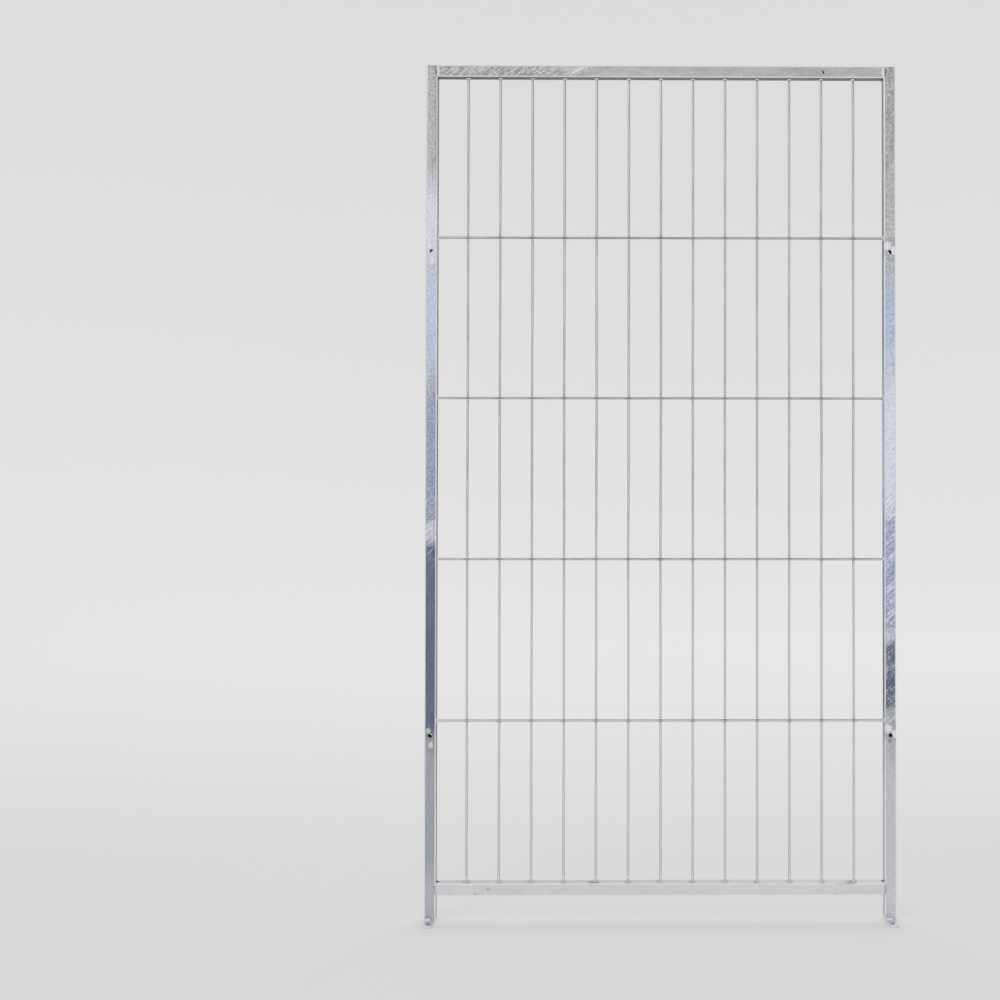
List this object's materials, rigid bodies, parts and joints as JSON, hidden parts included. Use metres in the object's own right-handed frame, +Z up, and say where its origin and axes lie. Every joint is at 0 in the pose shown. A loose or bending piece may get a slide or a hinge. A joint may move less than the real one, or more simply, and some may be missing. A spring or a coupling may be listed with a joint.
{
  "type": "welded bar panel",
  "caption": "Galvanized steel bar panel for a livestock or animal pen: square-tube frame, round upright bars, cross bars welded on the front, and flat anchor feet.",
  "frame": {"origin": "on the floor, under the middle of the panel's width and of its depth, feet included", "axes": "+X along the panel to the viewer's right, +Y from the front with the cross bars and the feet to the back, +Z up"},
  "size_m": [1, 0.0609, 1.815],
  "materials": {
    "tube_zinc": "electro-galvanized square tube, satin, faintly mottled and scratched",
    "bar_zinc": "electro-galvanized drawn round bar, satin",
    "foot_zinc": "electro-galvanized flat bar, satin",
    "weld_zinc": "electro-galvanized weld bead, bright and uneven"
  },
  "bodies": {
    "root": {"stile_left": "tube_zinc", "stile_right": "tube_zinc", "top_rail": "tube_zinc", "bottom_rail": "tube_zinc", "bar_01": "bar_zinc", "bar_02": "bar_zinc", "bar_03": "bar_zinc", "bar_04": "bar_zinc", "bar_05": "bar_zinc", "bar_06": "bar_zinc", "bar_07": "bar_zinc", "bar_08": "bar_zinc", "bar_09": "bar_zinc", "bar_10": "bar_zinc", "bar_11": "bar_zinc", "bar_12": "bar_zinc", "bar_13": "bar_zinc", "cross_bar_1": "bar_zinc", "cross_bar_2": "bar_zinc", "cross_bar_3": "bar_zinc", "cross_bar_4": "bar_zinc", "foot_left": "foot_zinc", "foot_right": "foot_zinc", "bar_bottom_welds": "weld_zinc", "bar_top_welds": "weld_zinc", "cross_bar_end_welds_left": "weld_zinc", "cross_bar_end_welds_right": "weld_zinc", "crossing_welds_1": "weld_zinc", "crossing_welds_2": "weld_zinc", "crossing_welds_3": "weld_zinc", "crossing_welds_4": "weld_zinc", "corner_welds_top_left": "weld_zinc", "corner_welds_top_right": "weld_zinc", "corner_welds_bottom_left": "weld_zinc", "corner_welds_bottom_right": "weld_zinc", "foot_weld_left": "weld_zinc", "foot_weld_right": "weld_zinc"}
  },
  "joints": []
}
